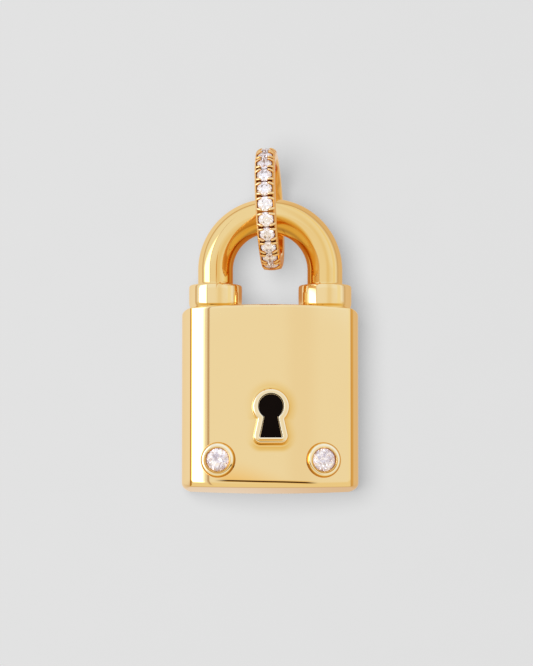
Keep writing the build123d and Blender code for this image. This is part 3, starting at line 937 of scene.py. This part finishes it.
def polished_gold(name, colours, gold, roughness):
    """Mirror-polished gold with the faint unevenness of hand polishing; its shade attribute paints shade and
    highlights on it.
    """
    worn_tint, painted_shade_tint, edge_tint = (0.995, 0.985, 0.97), (0.93, 0.95, 0.86), (0.96, 0.86, 0.7)
    finish = Finish(name)
    hairline = finish.noise(900.0, detail=2.0, stretch=(1.0, 0.12, 1.0))
    handled = finish.noise(90.0, detail=4.0).between(0.45, 0.8)
    swell = finish.noise(160.0, detail=1.0)
    worn = [value * share for value, share in zip(gold, worn_tint)]
    shade = finish.node("ShaderNodeAttribute", {"attribute_name": "shade"}, output=2)
    # Shares of the painted light: under 0 painted shade, under -1 a painted dark line, under -2 painted black
    hollow, painted_dark_line, painted_black = ((-depth - shade).math("MAXIMUM", 0.0, clamp=True) for depth in (0.0, 1.0, 2.0))
    colour = finish.blend(handled, gold, worn)
    # Painted highlight where the shade is over 0
    colour = finish.blend(shade.math("MAXIMUM", 0.0, clamp=True), colour, colours.painted_highlight)
    # Painted shade, deepened as if the light had met the gold again
    colour = finish.node("ShaderNodeGamma", None, {"Color": colour, "Gamma": 1 + colours.mirrorings * hollow})
    colour = finish.blend(hollow, colour, painted_shade_tint, "MULTIPLY")
    colour = finish.blend(painted_dark_line, colour, colours.painted_dark_shade)
    colour = finish.blend(painted_black, colour, colours.enamel)
    return finish.set(
        Base_Color=colour,
        Metallic=1.0,
        Specular_Tint=edge_tint,
        Roughness=roughness + 0.02 * handled + 0.015 * hairline.between(0.55, 0.8),
        Normal=finish.bump(swell * 0.8 + hairline * 0.03, distance=0.000004, strength=0.35),
    )


def cut_stone(name, colours, painted_glow, scale, deep):
    """Clear colourless stone with a faint painted glow, and darker painted spots that stand for dark
    reflections in its facets.
    """
    finish = Finish(name)
    depth = finish.noise(scale, detail=2.0)
    tint = finish.blend(depth.between(0.42, 0.6), colours.stone, deep)
    return finish.set(Base_Color=tint, Roughness=0.01 * depth, IOR=2.417, Transmission_Weight=1.0,
                      Emission_Color=tint, Emission_Strength=painted_glow)


def black_enamel(name, colours):
    """Black enamel sunk below the rim, with a soft uneven skin."""
    paler = (0.007, 0.004, 0.003)
    finish = Finish(name)
    skin = finish.noise(700.0, detail=3.0)
    return finish.set(
        Base_Color=finish.blend(skin, colours.enamel, paler),
        Roughness=0.35 + 0.1 * skin,
        Specular_IOR_Level=0.02,
        Normal=finish.bump(skin, distance=0.00001, strength=0.2),
    )


def pale_floor(name, colours):
    """Matt pale board."""
    finish = Finish(name)
    grain = finish.noise(160.0, detail=4.0)
    near = [value * 0.985 for value in colours.floor]
    return finish.set(
        Base_Color=finish.blend(grain, colours.floor, near),
        Roughness=0.9 + 0.05 * grain,
        Specular_IOR_Level=0.0,
        Normal=finish.bump(grain, distance=0.00002, strength=0.05),
    )


def light_tent(name):
    """White tent round the object: its panels and the gaps between them, seen only in polished surfaces."""
    white, sky = (0.9, 0.886, 0.865), (0.92, 0.96, 1.05)
    sand, cream, straw = (0.8, 0.66, 0.47), (0.93, 0.9, 0.75), (0.875, 0.777, 0.57)
    lamp_white, cocoa, rust = (3.0, 3.0, 3.05), (0.55, 0.4, 0.3), (0.55, 0.36, 0.22)
    finish = Finish(name)
    x, y, z = finish.coordinates(unit=1.0)
    # Angles from straight up, to the right and to the shackle, and round about from the right
    across, along, round_about = x.degrees_from(z), y.degrees_from(z), y.degrees_from(x)
    colour = finish.blend(along.between(6.5, 14), white, sky)
    colour = finish.blend(0.2 * across.within(4, 14, 19, 33), colour, sand)
    colour = finish.blend(across.within(50, 58, 66, 74), colour, cream)
    colour = finish.blend(1 - along.between(-26, -12), colour, straw)
    box = across.within(-78.5, -74.5, -43, -40) * along.within(-24, -16, 28, 42)
    colour = finish.blend(box, colour, lamp_white)
    gap = across.within(-39.6, -37.8, -37.5, -36.6) * along.within(-40, -30, 45, 60)
    colour = finish.blend(gap, colour, cocoa)
    low = 1 - z.between(0.1, 0.19)
    left = 1 - (180 - round_about.math("ABSOLUTE")).between(8, 25)
    edge = 0.1 + 0.1 * left + 0.3 * round_about.within(-20, -10, 50, 70)
    return finish.give_out(finish.blend(low * edge, colour, rust))


def dark_card(name):
    """Dark strip with a warm soft border that stands over the foot of the lock, seen only in polished
    surfaces, where it paints a dark reflection.
    """
    amber, painted_dark_reflection = (0.92, 0.66, 0.27), (0.07, 0.026, 0.01)
    finish = Finish(name)
    x, y, _ = finish.coordinates()
    line = y + 0.2 * x + 0.006 * x * x
    border = line.within(-4.5, -2.4, 1.5, 6.5)
    return finish.give_out(finish.blend(line.within(-2.6, -1.6, 1.2, 3.0), amber, painted_dark_reflection),
                           Alpha=border * x.within(-22, -14, 12, 19))


def plain_card(name):
    """Small card that keeps the light box out of the hollow of the shackle, seen only in polished surfaces,
    where it paints a brown reflection.
    """
    brown, tan = (0.7, 0.42, 0.18), (0.8, 0.55, 0.3)
    finish = Finish(name)
    _, y, z = finish.coordinates()
    return finish.give_out(finish.blend(z.between(-4, 6), brown, tan),
                           Alpha=y.within(-2.3, -0.6, 0.9, 2.3) * z.between(-4.8, -3.2))


def mirrored_floor(name):
    """Painted reflection of the floor, seen only in polished surfaces: lit from the left, with painted shadow
    warm to the right, toward the foot and between the shackle's legs.
    """
    lit, warm, foot = (0.91, 0.88, 0.9), (0.79, 0.64, 0.5), (0.69, 0.55, 0.46)
    hollow, beyond = (0.6, 0.32, 0.17), (0.68, 0.53, 0.38)
    finish = Finish(name)
    x, y, _ = finish.coordinates()
    colour = finish.blend(x.between(-4, 7), lit, warm)
    colour = finish.blend(1 - y.between(-20, -15), colour, foot)
    # Painted shadow between the shackle's legs
    window = (1 - (x * x).between(14, 24)) * (1 - ((y - 6) * (y - 6)).between(9, 30))
    colour = finish.blend(window, colour, hollow)
    reach = (x * x + y * y).math("SQRT")
    return finish.give_out(finish.blend(reach.between(26, 42), colour, beyond))


# Parts of the stage


def dress(node, material):
    """Gives a CAD node its material."""
    node.data.materials.clear()
    node.data.materials.append(material)
    node.visible_diffuse = False


def add_screen(name, points, faces, material):
    """Adds a mesh of the stage, in metres."""
    mesh = bpy.data.meshes.new(name)
    mesh.from_pydata(points, [], faces)
    mesh.materials.append(material)
    return link(name, mesh)


def add_floor(name, height, material):
    """Adds a square floor, wide enough for every view."""
    reach = 3.0
    corners = [(reach * x, reach * y, height) for x, y in ((-1, -1), (1, -1), (1, 1), (-1, 1))]
    return add_screen(name, corners, [(0, 1, 2, 3)], material)


def add_card(name, corners, place, material):
    """Adds a card from corners in millimetres round its own place."""
    card = add_screen(name, [Vector(corner) * MILLIMETRE for corner in corners], [(0, 1, 2, 3)], material)
    card.location = Vector(place) * MILLIMETRE
    return card


def add_tent():
    """Adds the half round tent, one metre in radius."""
    form = Form()
    dome = Profile([(math.sin(a) + 1e-4, math.cos(a)) for a in np.linspace(0, math.pi / 2, 33)],
                   [0.0] * 31, steps=1)
    add_turned(form, dome, (0, 0, 0), (1, 0, 0), (0, 0, 1), 64)
    return add_screen("tent", form.points, form.faces, light_tent("tent"))


def add_light(scene, studio):
    """Sets the even light of the room and the soft lamp at the upper left."""
    world = bpy.data.worlds.new("room")
    scene.world = world
    world.use_nodes = True
    background = world.node_tree.nodes["Background"]
    background.inputs["Color"].default_value = (1.0, 1.0, 1.0, 1.0)
    background.inputs["Strength"].default_value = studio.room

    lamp = bpy.data.lights.new("key", "AREA")
    lamp.shape = "DISK"
    lamp.size = 0.78
    lamp.energy = studio.key
    key = link("key", lamp)
    key.location = (-0.29, 0.005, 0.96)
    key.rotation_euler = (-key.location).to_track_quat("-Z", "Y").to_euler()
    key.visible_glossy = False
    key.visible_camera = False


def add_camera(scene):
    """Sets the camera over the front, a little from the foot and from the left."""
    lens = bpy.data.cameras.new("camera")
    lens.lens = 250.0
    lens.sensor_width = 36.0
    lens.clip_start = 0.01
    lens.clip_end = 20.0
    camera = link("camera", lens)
    scene.camera = camera
    left, foot, distance = math.radians(1.2), math.radians(5.5), 444.7
    aim_right, aim_up, aim_back = -0.29, -0.86, 4.2
    back = Vector((-math.sin(left) * math.cos(foot), -math.sin(foot), math.cos(left) * math.cos(foot)))
    right = Vector((0, 1, 0)).cross(back).normalized()
    up = back.cross(right)
    aim = right * aim_right + up * aim_up + back * aim_back
    place = (aim + back * distance) * MILLIMETRE
    camera.matrix_world = Matrix.Translation(place) @ Matrix((right, up, back)).transposed().to_4x4()


# Operators


class PENDANT_OT_case(bpy.types.Operator):
    """Makes the case with its crowned front, keyhole rim, bezels and collars"""

    bl_idname = "pendant.case"
    bl_label = "Make Case"

    def execute(self, context):
        form = Form()
        add_case(form, CaseShape(context.scene.pendant_sizes))
        colours = context.scene.pendant_colours
        form.make("polished_case", "lock",
                  polished_gold("gold_case", colours, colours.gold, roughness=0.03), ["case"])
        return {"FINISHED"}


class PENDANT_OT_shackle(bpy.types.Operator):
    """Makes the shackle of round wire"""

    bl_idname = "pendant.shackle"
    bl_label = "Make Shackle"

    def execute(self, context):
        form = Form()
        add_shackle(form, context.scene.pendant_sizes)
        colours = context.scene.pendant_colours
        form.make("polished_shackle", "lock",
                  polished_gold("gold_shackle", colours, colours.gold, roughness=0.05), ["shackle"])
        return {"FINISHED"}


class PENDANT_OT_ring(bpy.types.Operator):
    """Makes the ring with its channel and the grains that hold the stones"""

    bl_idname = "pendant.ring"
    bl_label = "Make Ring"

    def execute(self, context):
        form = Form()
        add_ring_band(form)
        for number in range(STONE_COUNT + 1):
            angle = (number - STONE_COUNT / 2) * PITCH + ROW_TURN
            for across_sign in (-1, 1):
                for along_sign in (1,) if number == 0 else (-1,) if number == STONE_COUNT else (-1, 1):
                    add_grain(form, angle, across_sign, along_sign, context.scene.pendant_sizes)
        colours = context.scene.pendant_colours
        form.make("polished_ring", "bail",
                  polished_gold("gold_ring", colours, colours.ring_gold, roughness=0.06), ["bail_ring"])
        return {"FINISHED"}


class PENDANT_OT_stones(bpy.types.Operator):
    """Gives the cut stones their clear material"""

    bl_idname = "pendant.stones"
    bl_label = "Dress Stones"

    def execute(self, context):
        colours = context.scene.pendant_colours
        lock_stone = cut_stone("lock_stone", colours, painted_glow=0.07, scale=1900.0, deep=(0.42, 0.36, 0.42))
        ring_stone = cut_stone("ring_stone", colours, painted_glow=0.028, scale=1400.0, deep=(0.93, 0.87, 0.91))
        for name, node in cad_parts.items():
            if "stone" in name:
                dress(node, lock_stone if "bezel" in name else ring_stone)
        return {"FINISHED"}


class PENDANT_OT_inlay(bpy.types.Operator):
    """Gives the keyhole's inlay its black enamel"""

    bl_idname = "pendant.inlay"
    bl_label = "Dress Inlay"

    def execute(self, context):
        dress(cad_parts["keyhole_inlay"], black_enamel("black_enamel", context.scene.pendant_colours))
        return {"FINISHED"}


class PENDANT_OT_stage(bpy.types.Operator):
    """Sets the pale floor, the soft light, the tent and the camera"""

    bl_idname = "pendant.stage"
    bl_label = "Set Stage"

    def execute(self, context):
        scene = context.scene
        floor = add_floor("floor", 0.0, pale_floor("pale_floor", scene.pendant_colours))
        floor.visible_glossy = False
        # A sheet seen only in polished surfaces, which paints the floor's reflection with its shadow
        mirrored = add_floor("mirrored_floor", 2e-5, mirrored_floor("mirrored_floor"))
        tent = add_tent()
        # Cards seen only in polished surfaces, which paint dark and brown reflections
        cards = [
            add_card("foot_card", ((-24, -12, 0), (24, -12, 0), (24, 12, 0), (-24, 12, 0)),
                     (0, -19.4, 30), dark_card("foot_card")),
            add_card("hollow_card", ((0, -2.4, -5), (0, 2.4, -5), (0, 2.4, 6), (0, -2.4, 6)),
                     (-4.95, 5.5, 10.3), plain_card("hollow_card")),
        ]
        for seen in (tent, mirrored, *cards):
            seen.data.materials[0].cycles.emission_sampling = "NONE"
            seen.visible_camera = False
            seen.visible_diffuse = False
            seen.visible_shadow = False
        for seen in (mirrored, *cards):
            seen.visible_transmission = False
        add_light(scene, scene.pendant_studio)
        add_camera(scene)
        scene.view_settings.view_transform = "Standard"
        scene.cycles.max_bounces = 16
        scene.cycles.glossy_bounces = 12
        scene.cycles.transmission_bounces = 16
        return {"FINISHED"}


OPERATORS = (
    PENDANT_OT_case,
    PENDANT_OT_shackle,
    PENDANT_OT_ring,
    PENDANT_OT_stones,
    PENDANT_OT_inlay,
    PENDANT_OT_stage,
)

GROUPS = {"pendant_sizes": PendantSizes, "pendant_colours": PendantColours, "pendant_studio": PendantStudio}


class PENDANT_PT_panel(bpy.types.Panel):
    """Lists the pendant's sizes, colours, light and makers"""

    bl_idname = "PENDANT_PT_panel"
    bl_label = "Padlock Pendant"
    bl_space_type = "VIEW_3D"
    bl_region_type = "UI"
    bl_category = "Pendant"

    def draw(self, context):
        for group in (getattr(context.scene, name) for name in GROUPS):
            column = self.layout.column(align=True)
            for name in group.bl_rna.properties.keys():
                if name not in ("rna_type", "name"):
                    column.prop(group, name)
        for operator in OPERATORS:
            self.layout.operator(operator.bl_idname)


def register():
    for name, group in GROUPS.items():
        bpy.utils.register_class(group)
        setattr(bpy.types.Scene, name, bpy.props.PointerProperty(type=group))
    for operator in OPERATORS:
        bpy.utils.register_class(operator)
    bpy.utils.register_class(PENDANT_PT_panel)


def unregister():
    bpy.utils.unregister_class(PENDANT_PT_panel)
    for operator in reversed(OPERATORS):
        bpy.utils.unregister_class(operator)
    for name, group in GROUPS.items():
        delattr(bpy.types.Scene, name)
        bpy.utils.unregister_class(group)


def main():
    register()
    bpy.ops.pendant.case()
    bpy.ops.pendant.shackle()
    bpy.ops.pendant.ring()
    bpy.ops.pendant.stones()
    bpy.ops.pendant.inlay()
    bpy.ops.pendant.stage()


if __name__ == "__main__":
    main()
